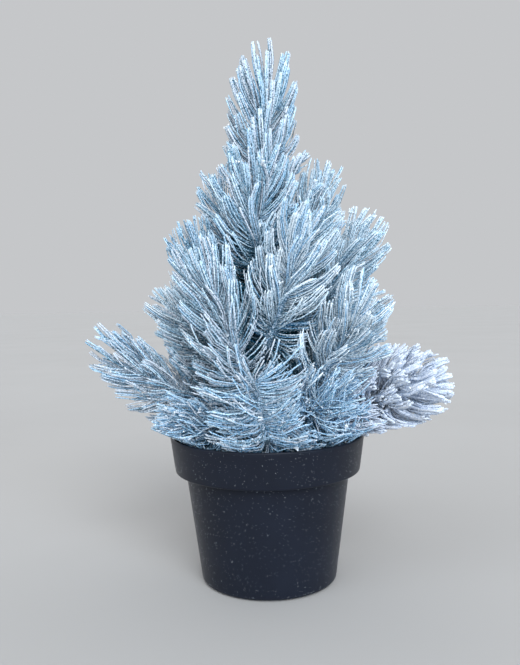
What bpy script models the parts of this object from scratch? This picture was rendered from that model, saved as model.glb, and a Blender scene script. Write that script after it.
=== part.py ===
"""A small artificial pine with frosted needles, standing in a black plastic pot.

The tree is built the way such trees are made: one tapering stem rises from the
filling of the pot, thin wired boughs leave it at their own heights and bearings,
and each bough ends in a sprig, a stem with needles set round it in a spiral.
Sizes are in millimetres and turned into metres where a mesh is made.
The origin is the middle of the pot's flat underside; the front is towards -Y.
"""

import math

import bmesh
import bpy
import numpy as np
from mathutils import Matrix, Vector

MM = 0.001
TURN = 2 * math.pi
UP = np.array([0.0, 0.0, 1.0])
BACKWARD = np.array([0.0, 1.0, 0.0])
STEEP = 0.9

# Clear gap between solids that touch on the real tree
GAP = 0.3

# Pot: a turned thin wall with a wide band round its mouth
POT_HEIGHT = 74.3
RIM_RADIUS = 50.0
BAND_FOOT_RADIUS = 47.6
BAND_FOOT_HEIGHT = 56.2
NECK_RADIUS = 42.3
BASE_RADIUS = 34.8
BASE_ROUNDING = 1.6
POT_WALL = 1.7
LIP_ROUNDING = 0.6
POT_STEPS = 48
CREASE_ANGLE = math.radians(32)

# Filling that holds the stem
FILLING_HEIGHT = 66.0
FILLING_EDGE = 1.5
FILLING_STEPS = 32

# Stem of the tree, upright, with the topmost sprig on it leaning a little to the right
STEM_TOP_HEIGHT = 172.0
STEM_TOP_RADIUS = 2.3
STEM_FOOT_RADIUS = 4.9
STEM_FLARE = 2.8
STEM_FLARE_HEIGHT = 6.0
LEADER_LEAN = 0.030
STEM_POINTS = 12
STEM_CROWDING = 1.6

# Boughs and the stems of the sprigs
BOUGH_ROOT_RADIUS = 1.8
BOUGH_TIP_RADIUS = 1.3
SPRIG_ROOT_RADIUS = 1.25
SPRIG_CORE_RADIUS = 3.8
SPRIG_TIP_RADIUS = 1.4
SWELL_TOWARDS_ROOT = 0.7
SPRIG_POINTS = 6
LEADER_POINTS = 9
KNEE_RISE = 0.65
WIRE_POINTS = 41
DIRECTION_SPAN = 0.8
BOUGH_POINTS = 4
LEADER_TIP_HEIGHT = 244.5
LEADER_ROOT_RADIUS = 2.0

# Needles: each solid one stands for a pinch of two or three real ones
NEEDLE_LENGTH = 31.4
NEEDLE_LENGTH_SPREAD = (0.92, 1.06)
NEEDLE_ROOT_RADIUS = 1.9
NEEDLE_TIP_RADIUS = 1.05
NEEDLE_SIDES = 3
NEEDLE_STEP = 2.4
LEADER_NEEDLE_STEP = 2.0
NEEDLE_SPIRAL = math.radians(137.5)
LEANS = (56.0, 24.0)
LEAN_SCATTER = 5.0
BRUSH_NEEDLES = 5
BRUSH_SPREAD = 22.0
FIRST_NEEDLE = 2.0
SPACE_MARGIN = 3.3
SPIN_TRIES = 4
SPRIG_AHEAD = 22.0
SPACE_POINTS = 25
NEEDLE_POINTS = 11
NEEDLE_CLEARANCE = NEEDLE_ROOT_RADIUS + GAP
NEEDLE_SEED = 7

# Each bough: name, height of its root on the stem, bearing in degrees from +X
# towards +Y, how far its sprig's stem reaches from the tree's axis, the height
# of that stem's tip, the share of the reach at which the wire turns upward, and
# the bare length before the first needles.
BOUGHS = (
    ("upper_left", 146, 144, 23, 189, 0.55, 11),
    ("upper_right", 146, 24, 28, 189, 0.55, 11),
    ("upper_front", 138, 263, 24, 189, 0.80, 10),
    ("upper_back", 134, 84, 26, 176, 0.55, 10),
    ("shoulder_front", 112, 292, 42, 162, 0.80, 11),
    ("shoulder_right", 116, 338, 44, 160, 0.55, 11),
    ("shoulder_left", 116, 202, 33, 156, 0.60, 10),
    ("shoulder_back_left", 124, 130, 38, 154, 0.55, 11),
    ("shoulder_back_right", 116, 52, 42, 148, 0.55, 11),
    ("flank_left", 104, 184, 37, 131, 0.55, 11),
    ("flank_front_left", 88, 240, 47, 144, 0.75, 12),
    ("flank_front_right", 88, 311, 58, 129, 0.62, 13),
    ("flank_back_left", 104, 146, 46, 124, 0.55, 12),
    ("flank_back", 100, 96, 52, 126, 0.55, 12),
    ("flank_back_right", 102, 22, 44, 122, 0.55, 12),
    ("skirt_front", 76, 264, 52, 107, 0.97, 13),
    ("skirt_front_right", 80, 302, 45, 92, 0.60, 13),
    ("skirt_right", 84, 340, 68, 98, 0.60, 14),
    ("skirt_left", 86, 184, 66, 109, 0.66, 14),
    ("skirt_back_left", 86, 122, 60, 97, 0.60, 13),
    ("skirt_back", 82, 78, 58, 92, 0.55, 13),
    ("skirt_back_right", 86, 40, 58, 96, 0.60, 13),
    ("collar_left", 77, 216, 42, 83, 0.60, 12),
    ("collar_right", 76, 317, 43, 84, 0.60, 12),
    ("collar_back_left", 77, 150, 40, 83, 0.55, 12),
    ("collar_back_right", 76, 58, 38, 82, 0.55, 12),
)

# The knee's own bearing and how sharply the wire turns there, where that isn't an even sweep
TURNED_KNEES = {
    "skirt_front": (270, 3.0),
    "shoulder_front": (268, 2.0),
    "flank_front_left": (262, 2.0),
    "flank_front_right": (311, 2.0),
    "upper_front": (263, 2.0),
    "skirt_right": (352, 1.5),
}

# How far needles lean from the wire at its root and at its tip, where more than on the rest
WIDE_LEANS = {
    "leader": (72.0, 26.0),
    "skirt_front": (96.0, 76.0),
    "skirt_right": (84.0, 40.0),
    "flank_front_right": (80.0, 26.0),
    "flank_front_left": (76.0, 26.0),
    "shoulder_front": (80.0, 28.0),
    "upper_front": (82.0, 30.0),
    "skirt_left": (70.0, 24.0),
    "shoulder_right": (68.0, 24.0),
}


# Scene, collections and materials


def clear_scene():
    for obj in list(bpy.data.objects):
        bpy.data.objects.remove(obj, do_unlink=True)


def new_collection(name, hidden=False):
    collection = bpy.data.collections.new(name)
    bpy.context.scene.collection.children.link(collection)
    collection.hide_render = hidden
    return collection


def new_material(name, colour, roughness):
    material = bpy.data.materials.new(name)
    material.use_nodes = True
    shader = material.node_tree.nodes["Principled BSDF"]
    shader.inputs["Base Color"].default_value = (*colour, 1.0)
    shader.inputs["Roughness"].default_value = roughness
    shader.inputs["Metallic"].default_value = 0.0
    material.diffuse_color = (*colour, 1.0)
    return material


def add_object(name, mesh, collection, material=None):
    obj = bpy.data.objects.new(name, mesh)
    collection.objects.link(obj)
    if material:
        mesh.materials.append(material)
    return obj


def apply_modifier(obj, modifier):
    bpy.context.view_layer.objects.active = obj
    with bpy.context.temp_override(object=obj, active_object=obj):
        bpy.ops.object.modifier_apply(modifier=modifier.name)


# Turned pieces: the pot and its filling


def turned(name, profile, steps, collection, material):
    """A profile of (radius, height) points in mm, turned round the Z axis."""
    shape = bmesh.new()
    corners = [shape.verts.new((radius * MM, 0.0, height * MM)) for radius, height in profile]
    for lower, upper in zip(corners, corners[1:]):
        shape.edges.new((lower, upper))
    mesh = bpy.data.meshes.new(name)
    shape.to_mesh(mesh)
    shape.free()
    obj = add_object(name, mesh, collection, material)
    screw = obj.modifiers.new("turn", "SCREW")
    screw.steps = steps
    screw.render_steps = steps
    screw.use_merge_vertices = True
    screw.merge_threshold = 1e-5
    apply_modifier(obj, screw)
    obj.data.shade_smooth()
    obj.data.set_sharp_from_angle(angle=CREASE_ANGLE)
    return obj


def outer_radius(height):
    """Radius of the pot's body below its band."""
    return BASE_RADIUS + (NECK_RADIUS - BASE_RADIUS) * height / BAND_FOOT_HEIGHT


def band_radius(height):
    share = (height - BAND_FOOT_HEIGHT) / (POT_HEIGHT - BAND_FOOT_HEIGHT)
    return BAND_FOOT_RADIUS + (RIM_RADIUS - BAND_FOOT_RADIUS) * share


def base_rounding():
    """The body's rounded bottom edge, from the wall down to the underside."""
    points = []
    for angle in (0.0, math.pi / 6, math.pi / 3, math.pi / 2):
        inset = BASE_ROUNDING * (1 - math.cos(angle))
        rise = BASE_ROUNDING * (1 - math.sin(angle))
        points.append((outer_radius(BASE_ROUNDING) - inset, rise))
    return points


def make_pot(collection, material):
    ledge = BAND_FOOT_HEIGHT + POT_WALL
    profile = [
        (0.0, POT_WALL),
        (outer_radius(POT_WALL) - POT_WALL, POT_WALL),
        (outer_radius(ledge) - POT_WALL, ledge),
        (band_radius(ledge) - POT_WALL, ledge),
        (RIM_RADIUS - POT_WALL, POT_HEIGHT - LIP_ROUNDING),
        (RIM_RADIUS - POT_WALL + LIP_ROUNDING, POT_HEIGHT),
        (RIM_RADIUS - LIP_ROUNDING, POT_HEIGHT),
        (RIM_RADIUS, POT_HEIGHT - LIP_ROUNDING),
        (BAND_FOOT_RADIUS, BAND_FOOT_HEIGHT + LIP_ROUNDING),
        (BAND_FOOT_RADIUS - LIP_ROUNDING, BAND_FOOT_HEIGHT),
        (NECK_RADIUS, BAND_FOOT_HEIGHT),
        *base_rounding(),
        (0.0, 0.0),
    ]
    return turned("pot", profile, POT_STEPS, collection, material)


def make_filling(collection, material):
    """A plug that fills the pot's inside to below the brim, with a flat top."""
    ledge = BAND_FOOT_HEIGHT + POT_WALL
    inset = POT_WALL + GAP
    profile = [
        (0.0, FILLING_HEIGHT),
        (band_radius(FILLING_HEIGHT) - inset - FILLING_EDGE, FILLING_HEIGHT),
        (band_radius(FILLING_HEIGHT) - inset, FILLING_HEIGHT - FILLING_EDGE),
        (band_radius(ledge) - inset, ledge + GAP),
        (outer_radius(ledge) - inset, ledge + GAP),
        (outer_radius(inset) - inset, inset),
        (0.0, inset),
    ]
    return turned("filling", profile, FILLING_STEPS, collection, material)


# Limbs: a path of points with a radius at each, made solid with flat ends


def limb(name, path, radii, sides_level, collection, material):
    curve = bpy.data.curves.new(name, "CURVE")
    curve.dimensions = "3D"
    curve.bevel_depth = MM
    curve.bevel_resolution = sides_level
    curve.use_fill_caps = True
    spline = curve.splines.new("POLY")
    spline.points.add(len(path) - 1)
    for point, place, radius in zip(spline.points, path, radii):
        point.co = (*(place * MM), 1.0)
        point.radius = radius
    guide = bpy.data.objects.new(name + "_guide", curve)
    collection.objects.link(guide)
    bpy.context.view_layer.update()
    graph = bpy.context.evaluated_depsgraph_get()
    mesh = bpy.data.meshes.new_from_object(guide.evaluated_get(graph))
    mesh.name = name
    place = guide.matrix_world.copy()
    bpy.data.objects.remove(guide, do_unlink=True)
    bpy.data.curves.remove(curve)
    shape = bmesh.new()
    shape.from_mesh(mesh)
    bmesh.ops.remove_doubles(shape, verts=shape.verts, dist=1e-6)
    bmesh.ops.recalc_face_normals(shape, faces=shape.faces)
    shape.to_mesh(mesh)
    shape.free()
    mesh.materials.clear()
    obj = add_object(name, mesh, collection, material)
    obj.matrix_world = place
    obj.data.shade_smooth()
    return obj


def lengths_along(path):
    return np.concatenate([[0.0], np.cumsum(np.linalg.norm(np.diff(path, axis=0), axis=1))])


def point_at(path, length):
    """The point of a path at this length from its start, and the path's direction there."""
    measured = lengths_along(path)
    places = (length, length - DIRECTION_SPAN, length + DIRECTION_SPAN)
    point, before, after = np.transpose([np.interp(places, measured, line) for line in path.T])
    return point, (after - before) / np.linalg.norm(after - before)


def stretch(path, start, end, count):
    """Evenly spaced points of a path between two lengths."""
    return np.array([point_at(path, length)[0] for length in np.linspace(start, end, count)])


def stem_axis(height):
    return np.array([LEADER_LEAN * max(height - STEM_TOP_HEIGHT, 0.0), 0.0, height])


def stem_radius(height):
    share = (height - FILLING_HEIGHT) / (STEM_TOP_HEIGHT - FILLING_HEIGHT)
    taper = STEM_FOOT_RADIUS + (STEM_TOP_RADIUS - STEM_FOOT_RADIUS) * share
    return taper + STEM_FLARE * math.exp(-(height - FILLING_HEIGHT) / STEM_FLARE_HEIGHT)


STEM_LINE = np.array([stem_axis(FILLING_HEIGHT), stem_axis(STEM_TOP_HEIGHT)])


def make_stem(collection, material):
    """The tree's stem, whole from its flat cut on the filling to its tip."""
    shares = np.linspace(0.0, 1.0, STEM_POINTS) ** STEM_CROWDING
    foot = FILLING_HEIGHT + GAP
    heights = foot + shares * (STEM_TOP_HEIGHT - foot)
    path = np.array([stem_axis(height) for height in heights])
    radii = [stem_radius(height) for height in heights]
    return limb("stem", path, radii, 2, collection, material)


def towards(bearing):
    """The level direction at a bearing in degrees."""
    return np.array([math.cos(math.radians(bearing)), math.sin(math.radians(bearing)), 0.0])


def bough_path(name, root_height, bearing, reach, tip_height, turn_share):
    """The wire of a bough and its sprig: it leaves the stem low and sweeps up to its tip."""
    knee_bearing, sharpness = TURNED_KNEES.get(name, (bearing, 1.0))
    root = stem_axis(root_height)
    knee_rise = (tip_height - root_height) * KNEE_RISE * (1 - turn_share)
    knee = root + towards(knee_bearing) * reach * turn_share + UP * knee_rise
    tip = towards(bearing) * reach + UP * tip_height
    share = np.linspace(0.0, 1.0, WIRE_POINTS)[:, None]
    near_root, near_knee, near_tip = (1 - share) ** 2, 2 * sharpness * share * (1 - share), share**2
    return (root * near_root + knee * near_knee + tip * near_tip) / (near_root + near_knee + near_tip)


def bough_start(path):
    """Length along a bough's path at which its flat end is just clear of the stem."""
    for length in np.arange(STEM_TOP_RADIUS, STEM_FOOT_RADIUS * 3, 0.05):
        place, direction = point_at(path, length)
        outward = np.hypot(*(place - stem_axis(place[2]))[:2])
        lean, level = direction[2] * BOUGH_ROOT_RADIUS, np.hypot(*direction[:2]) * BOUGH_ROOT_RADIUS
        top_room = outward - lean - stem_radius(place[2] + level)
        foot_room = outward + lean - stem_radius(place[2] - level)
        if min(top_room, foot_room) >= GAP:
            return length
    raise ValueError("a bough never leaves the stem")


# Sprigs: a stem with needles fused on, in a space of its own


def distance_to(points, path):
    """Shortest distance from each of the points to a path."""
    start, step = path[:-1], np.diff(path, axis=0)
    offset = points[:, None] - start[None]
    share = np.einsum("nmk,mk->nm", offset, step) / np.maximum((step**2).sum(axis=1), 1e-9)
    nearest = start[None] + np.clip(share, 0.0, 1.0)[..., None] * step[None]
    return np.linalg.norm(points[:, None] - nearest, axis=2).min(axis=1)


def nearest_of(points, paths):
    """Shortest distance from each of the points to any of the paths."""
    return np.min([distance_to(points, path) for path in paths], axis=0)


def beyond_tip(path):
    """A path carried straight on past its tip, through the brush of needles there."""
    ahead = path[-1] - path[-2]
    return np.vstack([path, path[-1] + ahead / np.linalg.norm(ahead) * SPRIG_AHEAD])


def clear_of_stem(points):
    apart = distance_to(points, STEM_LINE) - [stem_radius(height) for height in points[:, 2]]
    beside = points[:, 2] < STEM_TOP_HEIGHT + NEEDLE_CLEARANCE
    return bool((apart[beside] > NEEDLE_CLEARANCE).all())


def clear_of_pot(points):
    """Whether a needle stays over the filling, over the brim or outside the pot altogether."""
    radius = np.hypot(points[:, 0], points[:, 1])
    outside = radius > RIM_RADIUS + NEEDLE_CLEARANCE
    over_brim = points[:, 2] > POT_HEIGHT + NEEDLE_CLEARANCE
    over_filling = points[:, 2] > FILLING_HEIGHT + NEEDLE_CLEARANCE
    within = radius < BAND_FOOT_RADIUS - POT_WALL - NEEDLE_CLEARANCE
    return bool((outside | over_brim | (within & over_filling)).all())


def space_of(name, path, bare, rivals):
    """A sprig's path, the stretch of it that holds needles, and the slim core along that."""
    end = lengths_along(path)[-1]
    count = LEADER_POINTS if name == "leader" else SPRIG_POINTS
    core = stretch(path, bare, end, count)
    shares = np.linspace(0.0, 1.0, count)
    root_radius = LEADER_ROOT_RADIUS if name == "leader" else SPRIG_ROOT_RADIUS
    taper = root_radius + (SPRIG_TIP_RADIUS - root_radius) * shares
    swell = np.sin(np.pi * shares**SWELL_TOWARDS_ROOT) * (SPRIG_CORE_RADIUS - SPRIG_TIP_RADIUS)
    radii = taper + swell
    room = (nearest_of(core, rivals) - GAP) / 2
    if name != "leader":
        off_stem = distance_to(core, STEM_LINE) - STEM_FOOT_RADIUS - GAP
        room = np.minimum(room, off_stem)
    radii[1:] = np.minimum(radii, room)[1:]
    return {"path": path, "bare": bare, "end": end, "core": core, "radii": radii}


def clear_of_cores(points, others):
    """Whether the points of a needle's line keep clear of the cores of other sprigs."""
    for other in others:
        measured = lengths_along(other["core"])
        line = stretch(other["core"], 0.0, measured[-1], SPACE_POINTS)
        radii = np.interp(np.linspace(0.0, measured[-1], SPACE_POINTS), measured, other["radii"])
        apart = np.linalg.norm(points[:, None] - line[None], axis=2) - radii
        if (apart < NEEDLE_CLEARANCE).any():
            return False
    return True


def needle_tip(root, ahead, spin, lean, length):
    """The tip of a needle that leans from its stem by one angle, at a spin round the stem."""
    across = np.cross(ahead, BACKWARD if ahead[2] > STEEP else UP)
    across = across / np.linalg.norm(across)
    over = np.cross(across, ahead)
    aside = across * math.cos(spin) + over * math.sin(spin)
    return root + (ahead * math.cos(lean) + aside * math.sin(lean)) * length


def needles_of(name, sprigs, random):
    """Root and tip of each needle that keeps to its sprig's own space, up to the tip's brush."""
    sprig = sprigs[name]
    path, bare, end = sprig["path"], sprig["bare"], sprig["end"]
    own = beyond_tip(stretch(path, bare, end, SPACE_POINTS))
    others = [other for other_name, other in sprigs.items() if other_name != name]
    rivals = [beyond_tip(other["path"]) for other in others]

    def fits(root, tip):
        line = np.linspace(root, tip, NEEDLE_POINTS)[2:]
        if not clear_of_pot(line) or (name != "leader" and not clear_of_stem(line)):
            return False
        own_space = distance_to(line, own) + SPACE_MARGIN < nearest_of(line, rivals)
        return bool(own_space.all()) and clear_of_cores(line, others)

    lean_at_root, lean_at_tip = WIDE_LEANS.get(name, LEANS)
    step = LEADER_NEEDLE_STEP if name == "leader" else NEEDLE_STEP
    spiral = [*np.arange(bare + FIRST_NEEDLE, end, step)]
    spin = random.uniform(0.0, TURN)
    needles = []
    for index in range(len(spiral) + BRUSH_NEEDLES):
        in_brush = index >= len(spiral)
        place = end - GAP if in_brush else spiral[index]
        root, ahead = point_at(path, place)
        share = (place - bare) / (end - bare)
        lean = lean_at_root + (lean_at_tip - lean_at_root) * share
        lean = lean - random.uniform(0.0, BRUSH_SPREAD) if in_brush else random.normal(lean, LEAN_SCATTER)
        length = NEEDLE_LENGTH * random.uniform(*NEEDLE_LENGTH_SPREAD)
        for _ in range(SPIN_TRIES):
            spin += NEEDLE_SPIRAL
            tip = needle_tip(root, ahead, spin, math.radians(lean), length)
            if fits(root, tip):
                needles.append((root, tip))
                break
    return needles


def needle_solid(name, root, tip, collection):
    """One straight tapering needle with three sides and closed ends."""
    length = np.linalg.norm(tip - root)
    turn = Vector(tip - root).to_track_quat("Z", "Y").to_matrix().to_4x4()
    centre = Matrix.Translation(Vector((root + tip) / 2 * MM))
    shape = bmesh.new()
    bmesh.ops.create_cone(
        shape,
        cap_ends=True,
        segments=NEEDLE_SIDES,
        radius1=NEEDLE_ROOT_RADIUS * MM,
        radius2=NEEDLE_TIP_RADIUS * MM,
        depth=length * MM,
        matrix=centre @ turn,
    )
    mesh = bpy.data.meshes.new(name)
    shape.to_mesh(mesh)
    shape.free()
    return add_object(name, mesh, collection)


def keep_main_body(obj):
    """Fills hollows that the union sealed and drops loose scraps: only the largest shell stays."""
    shape = bmesh.new()
    shape.from_mesh(obj.data)
    unseen = set(shape.faces)
    shells = []
    while unseen:
        shell = {unseen.pop()}
        edge_of_shell = list(shell)
        while edge_of_shell:
            face = edge_of_shell.pop()
            for edge in face.edges:
                for other in edge.link_faces:
                    if other in unseen:
                        unseen.remove(other)
                        shell.add(other)
                        edge_of_shell.append(other)
        shells.append(shell)
    shells.sort(key=len)
    for shell in shells[:-1]:
        bmesh.ops.delete(shape, geom=list(shell), context="FACES")
    shape.to_mesh(obj.data)
    shape.free()


def make_sprig(name, sprigs, collection, guides, material, random):
    core, radii = sprigs[name]["core"], sprigs[name]["radii"]
    obj = limb(name + "_sprig", core, radii, 1, collection, material)
    needles = bpy.data.collections.new(name + "_needles")
    guides.children.link(needles)
    for index, (root, tip) in enumerate(needles_of(name, sprigs, random)):
        needle_solid(f"{name}_needle_{index}", root, tip, needles)
    union = obj.modifiers.new("fuse", "BOOLEAN")
    union.operation = "UNION"
    union.operand_type = "COLLECTION"
    union.collection = needles
    union.solver = "EXACT"
    apply_modifier(obj, union)
    for needle in list(needles.objects):
        mesh = needle.data
        bpy.data.objects.remove(needle, do_unlink=True)
        bpy.data.meshes.remove(mesh)
    bpy.data.collections.remove(needles)
    keep_main_body(obj)
    obj.data.materials.clear()
    obj.data.materials.append(material)
    obj.data.shade_flat()
    return obj


def plan_sprigs():
    """Every sprig's wire first, then the space that each one has among the others."""
    wires = {name: (bough_path(name, *sizes), bare) for name, *sizes, bare in BOUGHS}
    leader = np.linspace(stem_axis(STEM_TOP_HEIGHT), stem_axis(LEADER_TIP_HEIGHT), WIRE_POINTS)
    wires["leader"] = (leader, GAP)
    sprigs = {}
    for name, (path, bare) in wires.items():
        rivals = [other for other_name, (other, _) in wires.items() if other_name != name]
        sprigs[name] = space_of(name, path, bare, rivals)
    return sprigs


def make_tree(collection, guides):
    bark = new_material("wrapped stem", (0.075, 0.062, 0.050), 0.85)
    frost = new_material("frosted needles", (0.50, 0.60, 0.64), 0.80)
    make_stem(collection, bark)
    sprigs = plan_sprigs()
    for index, (name, sprig) in enumerate(sprigs.items()):
        if name != "leader":
            start = bough_start(sprig["path"])
            wire = stretch(sprig["path"], start, sprig["bare"] - GAP, BOUGH_POINTS)
            radii = np.linspace(BOUGH_ROOT_RADIUS, BOUGH_TIP_RADIUS, BOUGH_POINTS)
            limb(name + "_bough", wire, radii, 1, collection, bark)
        random = np.random.default_rng([NEEDLE_SEED, index])
        make_sprig(name, sprigs, collection, guides, frost, random)


def main():
    clear_scene()
    pine = new_collection("potted frosted pine")
    guides = new_collection("guides", hidden=True)
    make_pot(pine, new_material("black plastic", (0.018, 0.019, 0.023), 0.45))
    make_filling(pine, new_material("dark filling", (0.030, 0.024, 0.020), 0.95))
    make_tree(pine, guides)


main()
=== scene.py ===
"""The finish of a small artificial pine in a black plastic pot.

Every sprig's fine needles grow from the same wires and by the same spiral as its
solid in the frame, carried to many more and thinner needles in the same reach.
Sizes are in millimetres, turned into metres where a mesh is made.
"""

import math

import bpy
import numpy as np
from mathutils import Matrix


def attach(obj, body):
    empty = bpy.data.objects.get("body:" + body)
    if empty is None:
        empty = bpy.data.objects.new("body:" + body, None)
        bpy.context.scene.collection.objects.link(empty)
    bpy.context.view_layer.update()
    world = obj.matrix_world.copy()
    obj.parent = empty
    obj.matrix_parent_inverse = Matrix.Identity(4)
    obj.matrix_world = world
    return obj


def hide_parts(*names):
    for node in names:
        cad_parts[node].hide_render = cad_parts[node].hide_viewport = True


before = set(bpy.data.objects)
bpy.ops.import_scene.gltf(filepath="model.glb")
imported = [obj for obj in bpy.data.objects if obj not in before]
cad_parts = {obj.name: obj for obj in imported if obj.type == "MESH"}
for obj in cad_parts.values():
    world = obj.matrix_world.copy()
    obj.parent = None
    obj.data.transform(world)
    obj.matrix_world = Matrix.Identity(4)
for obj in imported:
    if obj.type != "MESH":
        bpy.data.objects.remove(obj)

MM = 0.001
TURN = 2 * math.pi
UP = np.array([0.0, 0.0, 1.0])
BACKWARD = np.array([0.0, 1.0, 0.0])
STEEP = 0.9

# Camera, worked out from the pot's outline in the photograph
CAMERA_PLACE = (0.0, -354.0, 140.0)
CAMERA_DOWN = 2.2
CAMERA_LEFT = 0.45
CAMERA_ROLL = -1.02
FOCAL_LENGTH = 37.03
FILM_HEIGHT = 36.0

# Pot
POT_HEIGHT = 74.3
RIM_RADIUS = 50.0
BAND_FOOT_RADIUS = 47.6
BAND_FOOT_HEIGHT = 56.2
NECK_RADIUS = 42.3
BASE_RADIUS = 34.8
BASE_ROUNDING = 1.6
POT_WALL = 1.7
LIP_ROUNDING = 0.8
POT_STEPS = 160

# Filling that holds the stem
FILLING_HEIGHT = 66.0
FILLING_STEPS = 96
FILLING_RINGS = 26
FILLING_ROUGHNESS = 1.4

# Stem of the tree
STEM_TOP_HEIGHT = 172.0
STEM_TOP_RADIUS = 2.3
STEM_FOOT_RADIUS = 4.9
STEM_FLARE = 2.8
STEM_FLARE_HEIGHT = 6.0
LEADER_LEAN = 0.030

# Boughs and wires
BOUGH_ROOT_RADIUS = 1.8
BOUGH_TIP_RADIUS = 1.3
MATTED_RADIUS = (2.6, 1.2)
MATTED_RING_STEP = 0.8
MATTED_SIDES = 14
KNEE_RISE = 0.65
WIRE_POINTS = 41
LEADER_TIP_HEIGHT = 244.5
GAP = 0.3
WRAP_PITCH = 3.1
WRAP_RELIEF = 0.16
RING_STEP = 0.45

# Needles: flat strips, frosted along their edges and at their tips, with their narrow sides left in a dark tint
# that is partly bare needle and partly painted shade between the needles
NEEDLE_LENGTH = 31.4
NEEDLE_LENGTH_SPREAD = (0.93, 1.02)
NEEDLE_WIDTH = 0.38
NEEDLE_THICKNESS = 0.22
NEEDLE_SIDES = 4
NEEDLE_LUMPS = 0.15
WIDTH_SPREAD = (0.78, 1.12)
RING_SHARES = (0.0, 0.22, 0.46, 0.70, 0.95, 1.0)
RING_TAPER = (0.90, 0.92, 0.97, 1.04, 1.12, 0.60)
# Frost at each corner of a needle's section: none on its narrow sides, whose dark tint is partly bare needle and
# partly painted shade between the needles.
EDGE_FROST_AND_SIDE_SHADE = (0.0, 1.0, 0.0, 1.0)
TIP_FROST = (0.5, 0.1, 0.1, 0.1, 0.5, 0.9)
LINE_POINTS = 9
NEEDLE_STEP = 0.086
NEEDLE_SPIRAL = math.radians(137.5)
LEANS = (56.0, 24.0)
LEAN_SCATTER = 1.5
SPIN_SCATTER = 0.02
NEEDLE_BEND = math.radians(52)
NEEDLE_WAVER = math.radians(4)
TUFT_SWAY = math.radians(18)
TUFT_WAVE = math.radians(14)
LEADER_WAVINESS = 0.4
LEADER_LOOSENESS = -0.2
LEADER_COAT = 1.35
BRUSH_NEEDLES = 26
BRUSH_SPREAD = 22.0
FIRST_NEEDLE = 0.6
COMBED_LEAN = 0.62
COMBED_AWAY = 0.55
TUFTS_ROUND = 6
TUFT_LENGTH = 4.6
TUFT_LEAN = 5.0
TUFT_GATHER = 0.62
TUFT_PULL = (0.12, 0.38)
TUFT_LENGTHS = (0.88, 1.04)
SPRIG_AHEAD = 22.0
SPACE_OVERLAP = (1.0, 6.0)
LOW_OVERLAP = 7.0
SHORTEST_NEEDLE = 0.5
NEEDLE_CLEARANCE = 0.7
CURL_HEIGHT = 1.6
CURL_SLOPE = 0.5
LOW_ROOTS = (78.0, 94.0)
LOW_LENGTH = 0.85
LOW_LOOSENESS = 0.6
LOW_SCATTER = math.radians(14)
CURLY_ROOTS = (84.0, 116.0)
NEEDLE_CURL = math.radians(20)
CURL_TURNS = (0.8, 1.7)
FIRST_LENGTH = 0.62
FIRST_SHARE = 0.16
NEEDLE_SEED = 7
FROST_SEED = 3
MOST_PRESSED = 10.0
BRIM_CLEARANCE = 1.5

# The crown's radius at some heights, and the shares of it between which the needles darken towards the inside,
# partly because less frost gets in among them and partly as painted shade
CROWN_HEIGHTS = (80.0, 130.0, 165.0, 200.0, 215.0, 280.0)
CROWN_RADII = (60.0, 66.0, 50.0, 10.0, 2.0, 1.0)
INNER_FROST_AND_SHADE_SHARES = (0.30, 0.70)
INNER_FROST_AND_SHADE_LOSS = 1.0

# Frost on the needles and specks of it on the pot
GRAIN_CONTRAST = 1.9
GRAINS_A_NEEDLE = 4
GRAIN_RADIUS = (0.14, 0.34)
CLUMPS = 420
GRAINS_A_CLUMP = 9
CLUMP_GRAIN_RADIUS = (0.28, 0.62)
CLUMP_SPREAD = 0.55
POT_SPECKS = 5000
SPECK_RADIUS = (0.04, 0.13)
SPECK_CLUSTERS = 60
SPECK_SCATTER = (0.18, 10.0)
CLUSTERED_SPECKS = 0.45

# Each bough: name, height of its root on the stem, bearing in degrees from +X
# towards +Y, how far its sprig's stem reaches from the tree's axis, the height
# of that stem's tip, the share of the reach at which the wire turns upward, and
# the bare length before the first needles.
BOUGHS = (
    ("upper_left", 146, 144, 23, 189, 0.55, 11),
    ("upper_right", 146, 24, 28, 189, 0.55, 11),
    ("upper_front", 138, 263, 24, 189, 0.80, 10),
    ("upper_back", 134, 84, 26, 176, 0.55, 10),
    ("shoulder_front", 112, 292, 42, 162, 0.80, 11),
    ("shoulder_right", 116, 338, 44, 160, 0.55, 11),
    ("shoulder_left", 116, 202, 33, 156, 0.60, 10),
    ("shoulder_back_left", 124, 130, 38, 154, 0.55, 11),
    ("shoulder_back_right", 116, 52, 42, 148, 0.55, 11),
    ("flank_left", 104, 184, 37, 131, 0.55, 11),
    ("flank_front_left", 88, 240, 47, 144, 0.75, 12),
    ("flank_front_right", 88, 311, 58, 129, 0.62, 13),
    ("flank_back_left", 104, 146, 46, 124, 0.55, 12),
    ("flank_back", 100, 96, 52, 126, 0.55, 12),
    ("flank_back_right", 102, 22, 44, 122, 0.55, 12),
    ("skirt_front", 76, 264, 52, 107, 0.97, 13),
    ("skirt_front_right", 80, 302, 45, 92, 0.60, 13),
    ("skirt_right", 84, 340, 68, 98, 0.60, 14),
    ("skirt_left", 86, 184, 66, 109, 0.66, 14),
    ("skirt_back_left", 86, 122, 60, 97, 0.60, 13),
    ("skirt_back", 82, 78, 58, 92, 0.55, 13),
    ("skirt_back_right", 86, 40, 58, 96, 0.60, 13),
    ("collar_left", 77, 216, 42, 83, 0.60, 12),
    ("collar_right", 76, 317, 43, 84, 0.60, 12),
    ("collar_back_left", 77, 150, 40, 83, 0.55, 12),
    ("collar_back_right", 76, 58, 38, 82, 0.55, 12),
)
# The knee's own bearing and how sharply the wire turns there, where that isn't an even sweep
TURNED_KNEES = {
    "skirt_front": (270, 3.0),
    "shoulder_front": (268, 2.0),
    "flank_front_left": (262, 2.0),
    "flank_front_right": (311, 2.0),
    "upper_front": (263, 2.0),
    "skirt_right": (352, 1.5),
}
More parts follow.
